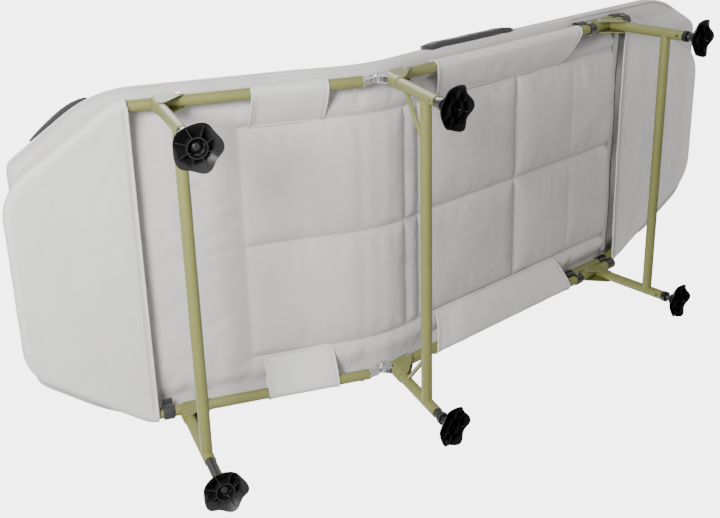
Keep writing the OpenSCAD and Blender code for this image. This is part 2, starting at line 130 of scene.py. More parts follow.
def fabric(name, base, dark, sheen=0.25, rough=0.85, weave=0.0007, bump=0.35, mott=14.0):
    m, nt, b = new_mat(name)
    L = nt.links.new
    tc = N(nt, "ShaderNodeTexCoord")
    # two crossing sets of yarns
    w1 = N(nt, "ShaderNodeTexWave", wave_type="BANDS", bands_direction="X", Scale=0.314 / weave, Distortion=0.6, Detail=2.0)
    w2 = N(nt, "ShaderNodeTexWave", wave_type="BANDS", bands_direction="Y", Scale=0.314 / weave, Distortion=0.6, Detail=2.0)
    w3 = N(nt, "ShaderNodeTexWave", wave_type="BANDS", bands_direction="Z", Scale=0.314 / weave, Distortion=0.6, Detail=2.0)
    for w in (w1, w2, w3):
        L(tc.outputs["Object"], w.inputs["Vector"])
    a1 = N(nt, "ShaderNodeMath", operation="MAXIMUM"); a2 = N(nt, "ShaderNodeMath", operation="MAXIMUM")
    L(w1.outputs["Fac"], a1.inputs[0]); L(w2.outputs["Fac"], a1.inputs[1])
    L(a1.outputs[0], a2.inputs[0]); L(w3.outputs["Fac"], a2.inputs[1])
    n1 = N(nt, "ShaderNodeTexNoise", Scale=mott, Detail=4.0, Roughness=0.6)
    n2 = N(nt, "ShaderNodeTexNoise", Scale=420.0, Detail=3.0, Roughness=0.65)
    L(tc.outputs["Object"], n1.inputs["Vector"]); L(tc.outputs["Object"], n2.inputs["Vector"])
    r1 = ramp(nt, 0.3, 0.72, dark, base)
    L(n1.outputs["Fac"], r1.inputs["Fac"])
    r2 = ramp(nt, 0.2, 0.8, (0.86, 0.86, 0.86), (1.0, 1.0, 1.0))
    L(n2.outputs["Fac"], r2.inputs["Fac"])
    mx = N(nt, "ShaderNodeMix", data_type="RGBA", blend_type="MULTIPLY")
    mx.inputs[0].default_value = 1.0
    L(r1.outputs["Color"], mx.inputs[6]); L(r2.outputs["Color"], mx.inputs[7])
    r3 = ramp(nt, 0.0, 0.6, (0.84, 0.84, 0.84), (1.0, 1.0, 1.0))
    L(a2.outputs[0], r3.inputs["Fac"])
    mx2 = N(nt, "ShaderNodeMix", data_type="RGBA", blend_type="MULTIPLY")
    mx2.inputs[0].default_value = 1.0
    L(mx.outputs[2], mx2.inputs[6]); L(r3.outputs["Color"], mx2.inputs[7])
    L(mx2.outputs[2], b.inputs["Base Color"])
    ad = N(nt, "ShaderNodeMath", operation="MULTIPLY_ADD"); ad.inputs[1].default_value = 0.5
    L(n2.outputs["Fac"], ad.inputs[0]); L(a2.outputs[0], ad.inputs[2])
    bp = N(nt, "ShaderNodeBump", Strength=bump, Distance=0.0005)
    L(ad.outputs[0], bp.inputs["Height"])
    # soft handling creases
    n3 = N(nt, "ShaderNodeTexNoise", Scale=22.0, Detail=5.0, Roughness=0.55, Distortion=0.4)
    L(tc.outputs["Object"], n3.inputs["Vector"])
    bp2 = N(nt, "ShaderNodeBump", Strength=0.35, Distance=0.004)
    L(n3.outputs["Fac"], bp2.inputs["Height"]); L(bp.outputs[0], bp2.inputs["Normal"])
    L(bp2.outputs[0], b.inputs["Normal"])
    rr = N(nt, "ShaderNodeMapRange"); rr.inputs["To Min"].default_value = rough - 0.06; rr.inputs["To Max"].default_value = min(1.0, rough + 0.08)
    L(n1.outputs["Fac"], rr.inputs["Value"]); L(rr.outputs[0], b.inputs["Roughness"])
    b.inputs["Sheen Weight"].default_value = sheen
    b.inputs["Sheen Roughness"].default_value = 0.5
    b.inputs["Specular IOR Level"].default_value = 0.25
    return m


def painted(name, base, worn):
    m, nt, b = new_mat(name)
    L = nt.links.new
    tc = N(nt, "ShaderNodeTexCoord")
    n1 = N(nt, "ShaderNodeTexNoise", Scale=9.0, Detail=5.0, Roughness=0.6)
    n2 = N(nt, "ShaderNodeTexNoise", Scale=900.0, Detail=2.0)
    n3 = N(nt, "ShaderNodeTexNoise", Scale=60.0, Detail=8.0, Roughness=0.75)
    for n in (n1, n2, n3):
        L(tc.outputs["Object"], n.inputs["Vector"])
    r = ramp(nt, 0.3, 0.7, tuple(c * 0.95 for c in base), tuple(min(1, c * 1.04) for c in base))
    L(n1.outputs["Fac"], r.inputs["Fac"])
    gm = N(nt, "ShaderNodeNewGeometry")
    e = ramp(nt, 0.56, 0.66, (0, 0, 0), (1, 1, 1))
    L(gm.outputs["Pointiness"], e.inputs["Fac"])
    k = ramp(nt, 0.6, 0.72, (0, 0, 0), (0.7, 0.7, 0.7))
    L(n3.outputs["Fac"], k.inputs["Fac"])
    mu = N(nt, "ShaderNodeMath", operation="MULTIPLY")
    L(e.outputs["Color"], mu.inputs[0]); L(k.outputs["Color"], mu.inputs[1])
    mx = N(nt, "ShaderNodeMix", data_type="RGBA")
    L(mu.outputs[0], mx.inputs[0]); L(r.outputs["Color"], mx.inputs[6]); mx.inputs[7].default_value = (*worn, 1)
    L(mx.outputs[2], b.inputs["Base Color"])
    rr = N(nt, "ShaderNodeMapRange"); rr.inputs["To Min"].default_value = 0.36; rr.inputs["To Max"].default_value = 0.52
    L(n3.outputs["Fac"], rr.inputs["Value"]); L(rr.outputs[0], b.inputs["Roughness"])
    bp = N(nt, "ShaderNodeBump", Strength=0.12, Distance=0.0003)
    L(n2.outputs["Fac"], bp.inputs["Height"]); L(bp.outputs[0], b.inputs["Normal"])
    b.inputs["Coat Weight"].default_value = 0.15
    b.inputs["Coat Roughness"].default_value = 0.3
    return m


def metal(name, base, rough0, rough1, scale=70.0):
    m, nt, b = new_mat(name)
    L = nt.links.new
    tc = N(nt, "ShaderNodeTexCoord")
    n1 = N(nt, "ShaderNodeTexNoise", Scale=scale, Detail=6.0, Roughness=0.7)
    mp = N(nt, "ShaderNodeMapping"); mp.inputs["Scale"].default_value = (40.0, 900.0, 900.0)
    n2 = N(nt, "ShaderNodeTexNoise", Scale=1.0, Detail=3.0)
    L(tc.outputs["Object"], n1.inputs["Vector"]); L(tc.outputs["Object"], mp.inputs["Vector"]); L(mp.outputs[0], n2.inputs["Vector"])
    r = ramp(nt, 0.3, 0.75, tuple(c * 0.78 for c in base), base)
    L(n1.outputs["Fac"], r.inputs["Fac"]); L(r.outputs["Color"], b.inputs["Base Color"])
    b.inputs["Metallic"].default_value = 1.0
    rr = N(nt, "ShaderNodeMapRange"); rr.inputs["To Min"].default_value = rough0; rr.inputs["To Max"].default_value = rough1
    L(n1.outputs["Fac"], rr.inputs["Value"]); L(rr.outputs[0], b.inputs["Roughness"])
    bp = N(nt, "ShaderNodeBump", Strength=0.1, Distance=0.0002)
    L(n2.outputs["Fac"], bp.inputs["Height"]); L(bp.outputs[0], b.inputs["Normal"])
    return m


def plastic(name, base, r0, r1, coat=0.2):
    m, nt, b = new_mat(name)
    L = nt.links.new
    tc = N(nt, "ShaderNodeTexCoord")
    n1 = N(nt, "ShaderNodeTexNoise", Scale=35.0, Detail=5.0, Roughness=0.6)
    n2 = N(nt, "ShaderNodeTexNoise", Scale=700.0, Detail=2.0)
    L(tc.outputs["Object"], n1.inputs["Vector"]); L(tc.outputs["Object"], n2.inputs["Vector"])
    r = ramp(nt, 0.3, 0.75, base, tuple(c * 1.6 + 0.004 for c in base))
    L(n1.outputs["Fac"], r.inputs["Fac"]); L(r.outputs["Color"], b.inputs["Base Color"])
    rr = N(nt, "ShaderNodeMapRange"); rr.inputs["To Min"].default_value = r0; rr.inputs["To Max"].default_value = r1
    L(n1.outputs["Fac"], rr.inputs["Value"]); L(rr.outputs[0], b.inputs["Roughness"])
    bp = N(nt, "ShaderNodeBump", Strength=0.1, Distance=0.0002)
    L(n2.outputs["Fac"], bp.inputs["Height"]); L(bp.outputs[0], b.inputs["Normal"])
    b.inputs["Coat Weight"].default_value = coat
    b.inputs["Coat Roughness"].default_value = 0.15
    return m


def webbing(name, base):
    m, nt, b = new_mat(name)
    L = nt.links.new
    tc = N(nt, "ShaderNodeTexCoord")
    w1 = N(nt, "ShaderNodeTexWave", wave_type="BANDS", bands_direction="DIAGONAL", Scale=160.0, Distortion=1.0, Detail=2.0)
    w2 = N(nt, "ShaderNodeTexWave", wave_type="BANDS", bands_direction="X", Scale=240.0, Distortion=0.4)
    n1 = N(nt, "ShaderNodeTexNoise", Scale=600.0, Detail=2.0)
    for n in (w1, w2, n1):
        L(tc.outputs["Object"], n.inputs["Vector"])
    mu = N(nt, "ShaderNodeMath", operation="MULTIPLY_ADD")
    L(w1.outputs["Fac"], mu.inputs[0]); L(w2.outputs["Fac"], mu.inputs[1]); L(n1.outputs["Fac"], mu.inputs[2])
    r = ramp(nt, 0.35, 1.3 if False else 1.0, base, tuple(c * 2.6 + 0.01 for c in base))
    L(mu.outputs[0], r.inputs["Fac"]); L(r.outputs["Color"], b.inputs["Base Color"])
    bp = N(nt, "ShaderNodeBump", Strength=0.6, Distance=0.0006)
    L(mu.outputs[0], bp.inputs["Height"]); L(bp.outputs[0], b.inputs["Normal"])
    b.inputs["Roughness"].default_value = 0.75
    b.inputs["Sheen Weight"].default_value = 0.15
    return m


MAT = {
    "sage_paint": painted("sage_paint_m", (0.172, 0.176, 0.052), (0.25, 0.25, 0.13)),
    "zinc": metal("zinc_m", (0.80, 0.81, 0.83), 0.16, 0.38),
    "rivet_steel": metal("rivet_m", (0.74, 0.74, 0.75), 0.2, 0.42),
    "black_plastic": plastic("black_plastic_m", (0.0045, 0.0045, 0.005), 0.13, 0.28),
    "webbing": webbing("webbing_m", (0.008, 0.008, 0.009)),
    "mattress_fabric": fabric("mattress_m", (0.56, 0.543, 0.533), (0.525, 0.508, 0.499)),
    "cover_fabric": fabric("cover_m", (0.66, 0.648, 0.637), (0.62, 0.608, 0.597), weave=0.0006, mott=9.0),
}
MAT["mesh"] = fabric("mesh_strip_m", (0.50, 0.49, 0.48), (0.40, 0.39, 0.385), weave=0.0026, bump=1.0)
# thread material: a grey thread, darkened further as painted shade so that the seams read as dark groove lines
MAT["thread_seam_shade"] = fabric("stitch_yarn_and_seam_shade_m", (0.34, 0.333, 0.326), (0.28, 0.275, 0.27), weave=0.0004)
MAT["binding"] = fabric("binding_m", (0.045, 0.046, 0.048), (0.03, 0.03, 0.032), weave=0.0009)
MAT["tape"] = fabric("tape_m", (0.36, 0.36, 0.355), (0.28, 0.28, 0.275), weave=0.0010, bump=0.7)

slots = {s["node"]: s["material_slot"] for s in frame["record"]["subparts"]}
for name, ob in frame["nodes"].items():
    m = MAT[slots[name]]
    if ob.data.materials:
        for i in range(len(ob.material_slots)):
            ob.material_slots[i].link = "OBJECT"
            ob.material_slots[i].material = m
    else:
        ob.data.materials.append(m)


# ------------------------------------------------------------------ mesh helpers
def make(name, verts, faces, mat, smooth=True):
    me = bpy.data.meshes.new(name)
    me.from_pydata([tuple(v) for v in verts], [], [tuple(f) for f in faces])
    me.validate()
    bm = bmesh.new(); bm.from_mesh(me)
    bmesh.ops.recalc_face_normals(bm, faces=bm.faces)
    bm.to_mesh(me); bm.free()
    if smooth:
        me.polygons.foreach_set("use_smooth", [True] * len(me.polygons))
    ob = bpy.data.objects.new(name, me)
    bpy.context.scene.collection.objects.link(ob)
    me.materials.append(MAT[mat] if isinstance(mat, str) else mat)
    return ob


def grid_faces(nu, nv, close_v=False):
    f = []
    for i in range(nu - 1):
        for j in range(nv if close_v else nv - 1):
            k = (j + 1) % nv
            f.append((i * nv + j, i * nv + k, (i + 1) * nv + k, (i + 1) * nv + j))
    return f


def apply_mods(ob):
    bpy.context.view_layer.objects.active = ob
    for m in list(ob.modifiers):
        bpy.ops.object.select_all(action="DESELECT")
        ob.select_set(True)
        bpy.ops.object.modifier_apply(modifier=m.name)


def solidify(ob, t, offset=0.0):
    m = ob.modifiers.new("thick", "SOLIDIFY")
    m.thickness = t; m.offset = offset; m.use_even_offset = True
    return m


def subsurf(ob, n=1):
    m = ob.modifiers.new("sub", "SUBSURF")
    m.levels = n; m.render_levels = n
    return m


def half_outline(x0, xa, xe, r1, r2, deg, h, d, n1=10, n2=14):
    """Half of an end outline: [x, y] from the straight side to the middle of the end."""
    a = math.radians(deg)
    s = (xe - xa - r1 * math.sin(a) - r2 * (1 - math.sin(a))) / math.cos(a)
    x1, y1 = xa + r1 * math.sin(a), h - r1 * (1 - math.cos(a))
    x2, y2 = x1 + s * math.cos(a), y1 - s * math.sin(a)
    pts = [(x0, h + d)]
    for i in range(n1 + 1):
        t = math.pi / 2 - a * i / n1
        pts.append((xa + (r1 + d) * math.cos(t), h - r1 + (r1 + d) * math.sin(t)))
    cx, cy = x2 - r2 * math.sin(a), y2 - r2 * math.cos(a)
    for i in range(n2 + 1):
        t = (math.pi / 2 - a) * (1 - i / n2)
        pts.append((cx + (r2 + d) * math.cos(t), cy + (r2 + d) * math.sin(t)))
    return np.array(pts)


def stitches(name, runs, body_fn, pitch=4.2, length=2.8, r=0.42, blend=None, ride=None):
    """Thread dashes along runs: each a list of (x, y, z) section points in mm."""
    V, F = [], []
    for run in runs:
        P = body_fn(np.array(run, float)) * 1000.0
        seg = np.linalg.norm(np.diff(P, axis=0), axis=1)
        cum = np.concatenate([[0], np.cumsum(seg)])
        n = int(cum[-1] / pitch)
        for i in range(n):
            a, b = i * pitch, i * pitch + length
            A = np.array([np.interp(a, cum, P[:, k]) for k in range(3)])
            B = np.array([np.interp(b, cum, P[:, k]) for k in range(3)])
            d = B - A
            L = np.linalg.norm(d)
            if L < 0.5:
                continue
            d /= L
            u = np.cross(d, [0.3, 0.2, 0.93]); u /= np.linalg.norm(u)
            w = np.cross(d, u)
            k = len(V)
            for q, rr in ((A, 0.4), (A + d * L * 0.2, 1.0), (A + d * L * 0.8, 1.0), (B, 0.4)):
                for t in range(5):
                    c, s = math.cos(t * 1.2566), math.sin(t * 1.2566)
                    V.append((q + (u * c + w * s) * r * rr) / 1000.0)
            for j in range(3):
                for t in range(5):
                    F.append((k + j * 5 + t, k + j * 5 + (t + 1) % 5, k + (j + 1) * 5 + (t + 1) % 5, k + (j + 1) * 5 + t))
            F.append(tuple(k + t for t in range(5))[::-1]); F.append(tuple(k + 15 + t for t in range(5)))
    # the thread's darker grey partly paints the shade along the seams
    ob = make(name, V, F, "thread_seam_shade")
    if blend:
        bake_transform(ob)
    else:
        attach(ob, ride)
    return ob


# ------------------------------------------------------------------ the mattress
A0 = bent([[BEND, 0, PU]])[0]
A1 = bent([[-BEND, 0, PU]])[0]
HINGE = ("seat_frame", "head_frame", tuple(seat([[BEND, 0, PU]])[0]), tuple(seat([[-BEND * math.cos(AL), 0, PU]])[0]))

H_ARGS = (0, 520, 787, 247, 25, 35, 376)
F_ARGS = {1: (0, 985, 1340, 150, 90, 24, 376), -1: (0, 1090, 1344, 300, 60, 27, 376)}
U0, U1 = -787.0, 1343.0
H_OUT = half_outline(*H_ARGS, 0)
F_OUT = {k: half_outline(*v, 0) for k, v in F_ARGS.items()}


def pad_width(u, side=1):
    u = np.asarray(u, float)
    return np.where(u < 0, np.interp(-u, H_OUT[:, 0], H_OUT[:, 1]), np.interp(u, F_OUT[side][:, 0], F_OUT[side][:, 1]))


BOT_U = [-313, 86, 134, 500, 726]
BOT_Y = [0]
TOP_U = [-300, -95, 110, 315, 520, 725, 930, 1135]
TOP_Y = [-130, 130]
SEAM_Z = 37.0


def seam_dist_bottom(u, y):
    d = np.full(u.shape, 1e3)
    along = np.zeros(u.shape)
    inside = (np.abs(y) <= 272)
    for s in BOT_U:
        k = np.hypot(u - s, np.maximum(np.abs(y) - 270, 0)) + (14 if s == 726 else 0)
        along = np.where(k < d, y, along); d = np.minimum(d, k)
    for s in BOT_Y:
        k = np.hypot(y - s, np.maximum(np.maximum(-313 - u, u - 915), 0))
        along = np.where(k < d, u, along); d = np.minimum(d, k)
    for s in (-270, 270):
        k = np.hypot(y - s, np.maximum(np.maximum(-313 - u, u - 915), 0))
        along = np.where(k < d, u, along); d = np.minimum(d, k)
    return d, along


def seam_dist_top(u, y):
    d = np.full(u.shape, 1e3)
    along = np.zeros(u.shape)
    for s in TOP_U:
        k = np.abs(u - s)
        along = np.where(k < d, y, along); d = np.minimum(d, k)
    for s in TOP_Y:
        k = np.hypot(y - s, np.maximum(-505 - u, 0))
        along = np.where(k < d, u, along); d = np.minimum(d, k)
    return d, along


def bottom_z(u, y):
    """Underside height: seams high, cells hanging a little below them."""
    d, along = seam_dist_bottom(u, y)
    outer = smooth01((np.abs(y) - 290) / 40.0)
    z = SEAM_Z - (9.5 * (1 - np.exp(-d / 6.5)) + 7.0 * (1 - np.exp(-d / 45.0))) * (1 - 0.75 * outer)
    # soft upright folds where the back starts to rise, and slack cloth by the head pocket
    z += (3.6 * np.exp(-((u + 42) / 16.0) ** 2) + 2.4 * np.exp(-((u + 6) / 20.0) ** 2) + 1.6 * np.exp(-((u - 40) / 12.0) ** 2)) * (1 - np.exp(-d / 30.0)) * (1 - outer)
    slack = smooth01((-325 - u) / 40.0) * smooth01((u + 545) / 25.0)
    z += slack * (3.2 * fnoise(u, y * 0.35, 38, 5.0) + 1.5 * fnoise(u + 0.5 * y, y, 24, 6.0))
    end = smooth01((u - 735) / 30.0) * smooth01((925 - u) / 20.0)
    z += end * 2.6 * fnoise(u * 0.5, y, 34, 7.0)
    z += 7.0 * smooth01((u - 905) / 30.0) + 8.0 * smooth01((u - 700) / 60.0) * outer
    z -= 3.0 * smooth01((-330 - u) / 60.0)
    pucker = np.exp(-d / 24.0) * (1 - np.exp(-d / 4.0))
    z += 0.75 * pucker * np.sin(along / 9.5 + 3.1 * np.sin(along / 47.0)) * (0.55 + 0.45 * np.sin(along / 83.0 + u / 140.0))
    return z


def top_z(u, y):
    d, along = seam_dist_top(u, y)
    z = 74.0 + 8.0 * (1 - np.exp(-d / 36.0))
    pucker = np.exp(-d / 22.0) * (1 - np.exp(-d / 3.0))
    z += 1.2 * pucker * np.sin(along / 13.0 + 2.1 * np.sin(along / 47.0))
    return z


def gathered(v, seams, reach=20.0):
    """Move sample positions towards the seams, so that the grooves have fine cells."""
    v = np.array(v, float)
    for q in seams:
        d = v - q
        k = np.abs(d) < reach
        v[k] = q + np.sign(d[k]) * reach * (np.abs(d[k]) / reach) ** 1.9
    return v


def build_mattress():
    R = 26.0
    ends = [R * (1 - math.cos(t)) for t in np.linspace(0, math.pi / 2, 8)]
    us = sorted(set([round(U0 + e, 3) for e in ends] + [round(U1 - e, 3) for e in ends]
                    + [round(v, 3) for v in np.arange(U0 + R + 5, U1 - R - 2, 8.0)]))
    us = np.unique(np.round(gathered(us, sorted(set(BOT_U + [-300, 315, 930, 1135]))), 3))
    nt, ns, nb = 84, 9, 84
    rings = []
    tags = []
    for u in us:
        w = float(pad_width(u, 1)); wr = float(pad_width(u, -1))
        e = min(u - U0, U1 - u)
        k = 1.0 if e >= R else math.sqrt(max(0.0, 1 - (1 - e / R) ** 2))
        k = max(k, 0.02)
        rs = 24.0
        yt = np.linspace(w - rs, -(wr - rs), nt)
        yb = gathered(yt[::-1], (-270, 0, 270)) if w > 300 and wr > 300 else yt[::-1]
        yt = gathered(yt, (-130, 130))
        zt = top_z(np.full(nt, u), yt); zb = bottom_z(np.full(nb, u), yb)
        zc = 0.5 * (np.mean(zt) + np.mean(zb))
        # sides: half ellipses between the top and bottom edge points
        th = np.linspace(0, math.pi, ns + 2)[1:-1]
        def side(y0, sgn, z0, z1):
            mid = 0.5 * (z0 + z1); h = 0.5 * (z0 - z1)
            return np.stack([np.full(ns, u), y0 + sgn * rs * np.sin(th) ** 0.8, mid + h * np.cos(th)], 1)
        top = np.stack([np.full(nt, u), yt, zt], 1)
        bot = np.stack([np.full(nb, u), yb, zb], 1)
        sR = side(-(wr - rs), -1, zt[-1], zb[0])
        sL = side((w - rs), 1, zt[0], zb[-1])[::-1]
        ring = np.concatenate([top, sR, bot, sL])
        ring[:, 2] = zc + (ring[:, 2] - zc) * k
        rings.append(ring)
    P = np.concatenate(rings)
    nv = nt + nb + 2 * ns
    F = grid_faces(len(us), nv, True)
    # end strips: join top to bottom at the first and last ring
    for base, rev in ((0, False), ((len(us) - 1) * nv, True)):
        loop = [base + j for j in range(nv)]
        for j in range(nt - 1):
            a, b = j, j + 1
            c, d = nt + ns + nb - 2 - j, nt + ns + nb - 1 - j
            F.append((loop[a], loop[b], loop[c], loop[d]))
        F.append(tuple([loop[0]] + [loop[nt + ns + nb - 1 + i] for i in range(0, ns + 1)]))
        F.append(tuple([loop[nt - 1 + i] for i in range(0, ns + 2)]))
    # broad softness
    low = fnoise(P[:, 0], P[:, 1] + P[:, 2] * 3, 150, 1.0) * 2.2 + fnoise(P[:, 0], P[:, 1], 55, 2.0) * 0.9
    body = np.minimum(P[:, 0] - U0, U1 - P[:, 0]) > 30
    seam_b, _ = seam_dist_bottom(P[:, 0], P[:, 1])
    free = smooth01(seam_b / 30.0)
    sgn = np.where(P[:, 2] > 58, 1.0, -1.0)
    P[:, 2] += np.where(body, low * free * sgn, 0)
    return P, F, nv


P0, F0, NVR = build_mattress()
mat_ob = make("mattress_body", P0 / 1000.0, F0, "mattress_fabric")


def cloth_swell(ob, pins, pressure, frames=18, cap=9.0, shrink=-0.02, stiff=18.0):
    """Blender cloth under inner pressure; the seams are pinned. The result is applied and capped."""
    rest = np.array([v.co[:] for v in ob.data.vertices])
    vg = ob.vertex_groups.new(name="pin")
    for w in sorted(set(np.round(pins, 2))):
        if w > 0:
            vg.add([int(i) for i in np.nonzero(np.round(pins, 2) == w)[0]], float(w), "REPLACE")
    c = ob.modifiers.new("cloth", "CLOTH")
    s = c.settings
    s.quality = 5
    s.mass = 0.25
    s.tension_stiffness = stiff; s.compression_stiffness = stiff; s.shear_stiffness = 6
    s.bending_stiffness = 0.35
    s.air_damping = 4
    s.use_pressure = True
    s.uniform_pressure_force = pressure
    s.shrink_min = shrink
    s.vertex_group_mass = "pin"
    s.effector_weights.gravity = 0
    c.collision_settings.use_self_collision = False
    c.collision_settings.use_collision = False
    sc = bpy.context.scene
    sc.frame_start, sc.frame_end = 1, frames
    c.point_cache.frame_start, c.point_cache.frame_end = 1, frames
    for f in range(1, frames + 1):
        sc.frame_set(f)
    dg = bpy.context.evaluated_depsgraph_get()
    ev = ob.evaluated_get(dg).to_mesh()
    out = np.array([v.co[:] for v in ev.vertices])
    ob.evaluated_get(dg).to_mesh_clear()
    ob.modifiers.remove(c)
    sc.frame_set(1)
    d = out - rest
    if not np.isfinite(d).all():
        d[:] = 0
    n = np.linalg.norm(d, axis=1, keepdims=True)
    lim = cap / 1000.0
    d = d * (lim * np.tanh(n / lim) / np.maximum(n, 1e-9))
    ob.data.vertices.foreach_set("co", (rest + d).ravel())
    ob.data.update()
    return np.linalg.norm(d, axis=1)


sb, _ = seam_dist_bottom(P0[:, 0], P0[:, 1])
st, _ = seam_dist_top(P0[:, 0], P0[:, 1])
is_top = P0[:, 2] > 58
sd = np.where(is_top, st, sb)
pins = np.clip(1.2 - sd / 12.0, 0, 1)
# held where it meets the rails, the pockets and the ratchets
pins = np.maximum(pins, np.where(~is_top, smooth01((np.abs(P0[:, 1]) - 325) / 25.0), 0) * 0.9)
pins = np.maximum(pins, np.where(~is_top & (P0[:, 0] > 930), 0.9, 0))
pins = np.maximum(pins, np.where(~is_top & (P0[:, 0] < -545), 0.9, 0))
moved = cloth_swell(mat_ob, pins, 1.6, frames=16, cap=5.0, shrink=-0.006)
print("mattress cloth: mean move mm", float(moved.mean() * 1000), "max", float(moved.max() * 1000))

# material areas: the open mesh strip across the underside
mat_ob.data.materials.append(MAT["mesh"])
co = np.array([v.co[:] for v in mat_ob.data.vertices]) * 1000.0
for p in mat_ob.data.polygons:
    c = co[list(p.vertices)].mean(0)
    if 88 < c[0] < 132 and abs(c[1]) < 266 and c[2] < 50:
        p.material_index = 1
# place: flat coordinates to the rest pose
mat_ob.data.vertices.foreach_set("co", bent(co).ravel())
mat_ob.data.update()
subsurf(mat_ob, 1); apply_mods(mat_ob)
mat_ob.data.polygons.foreach_set("use_smooth", [True] * len(mat_ob.data.polygons))
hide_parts("mattress_seat", "mattress_head", "mattress_bend")
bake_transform(mat_ob)

# quilting thread in the grooves of the underside and top: its darkened grey is partly the thread's own colour, partly
# painted shade of the grooves
runs = []
for s in BOT_U:
    if s == 726:
        continue
    yy = np.arange(-270, 271, 6.0)
    runs.append(np.stack([np.full(yy.size, float(s)), yy, np.full(yy.size, SEAM_Z - 0.6)], 1))
for s in (-270, 0, 270):
    uu = np.arange(-313, 905, 6.0)
    runs.append(np.stack([uu, np.full(uu.size, float(s)), np.full(uu.size, SEAM_Z - 0.6)], 1))
stitches("quilt_thread_under", runs, bent, blend=HINGE, pitch=5.0, length=3.4, r=0.5)
runs = []
for s in TOP_U:
    w = float(min(pad_width(s, 1), pad_width(s, -1))) - 30
    yy = np.arange(-w, w, 6.0)
    runs.append(np.stack([np.full(yy.size, float(s)), yy, top_z(np.full(yy.size, float(s)), yy) + 0.4], 1))
for s in TOP_Y:
    uu = np.arange(-500, 1290, 6.0)
    runs.append(np.stack([uu, np.full(uu.size, float(s)), top_z(uu, np.full(uu.size, float(s))) + 0.4], 1))
stitches("quilt_thread_top", runs, bent, blend=HINGE, pitch=5.0, length=3.4, r=0.5)


# piping round the mattress edge, a little below its top
def sweep(path, r, n=8, closed=False):
    """Round tube along a path (mm), closed or with end caps. Returns verts (mm), faces."""
    P = np.asarray(path, float)
    m = len(P)
    if closed:
        T = np.roll(P, -1, 0) - np.roll(P, 1, 0)
    else:
        T = np.gradient(P, axis=0)
    T /= np.linalg.norm(T, axis=1, keepdims=True)
    up = np.array([0, 0, 1.0])
    V, F = [], []
    for i in range(m):
        u = np.cross(T[i], up)
        if np.linalg.norm(u) < 0.1:
            u = np.cross(T[i], [0, 1, 0])
        u /= np.linalg.norm(u)
        w = np.cross(T[i], u)
        for k in range(n):
            a = 2 * math.pi * k / n
            V.append(P[i] + r * (math.cos(a) * u + math.sin(a) * w))
    for i in range(m if closed else m - 1):
        for k in range(n):
            a, b = i * n + k, i * n + (k + 1) % n
            c, d = ((i + 1) % m) * n + (k + 1) % n, ((i + 1) % m) * n + k
            F.append((a, b, c, d))
    if not closed:
        F.append(tuple(range(n))[::-1]); F.append(tuple((m - 1) * n + k for k in range(n)))
    return np.array(V), F


def pad_edge(z, inset):
    hx = half_outline(*H_ARGS, -inset)[1:]
    sides = []
    for k, xa in ((1, 980), (-1, 1080)):
        fx = half_outline(*F_ARGS[k], -inset)[1:]
        sides.append(np.concatenate([[[-p[0], p[1]] for p in hx][::-1], [[u, 376 - inset] for u in np.arange(-500, xa, 25)], fx]))
    left = sides[0]
    right = sides[1][::-1] * np.array([1, -1])
    P = np.concatenate([left, right])
    # even spacing
    Q = np.concatenate([P, P[:1]])
    s = np.concatenate([[0], np.cumsum(np.linalg.norm(np.diff(Q, axis=0), axis=1))])
    t = np.arange(0, s[-1] - 6, 12.0)
    Q = np.stack([np.interp(t, s, Q[:, 0]), np.interp(t, s, Q[:, 1])], 1)
    return np.column_stack([Q, np.full(len(Q), z)])


for nm, z, ins in (("piping_top", 75.5, 5.0), ("piping_low", 47.0, 4.0)):
    V, F = sweep(pad_edge(z, ins), 2.6, 8, True)
    ob = make(nm, bent(V), F, "cover_fabric")
    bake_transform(ob)


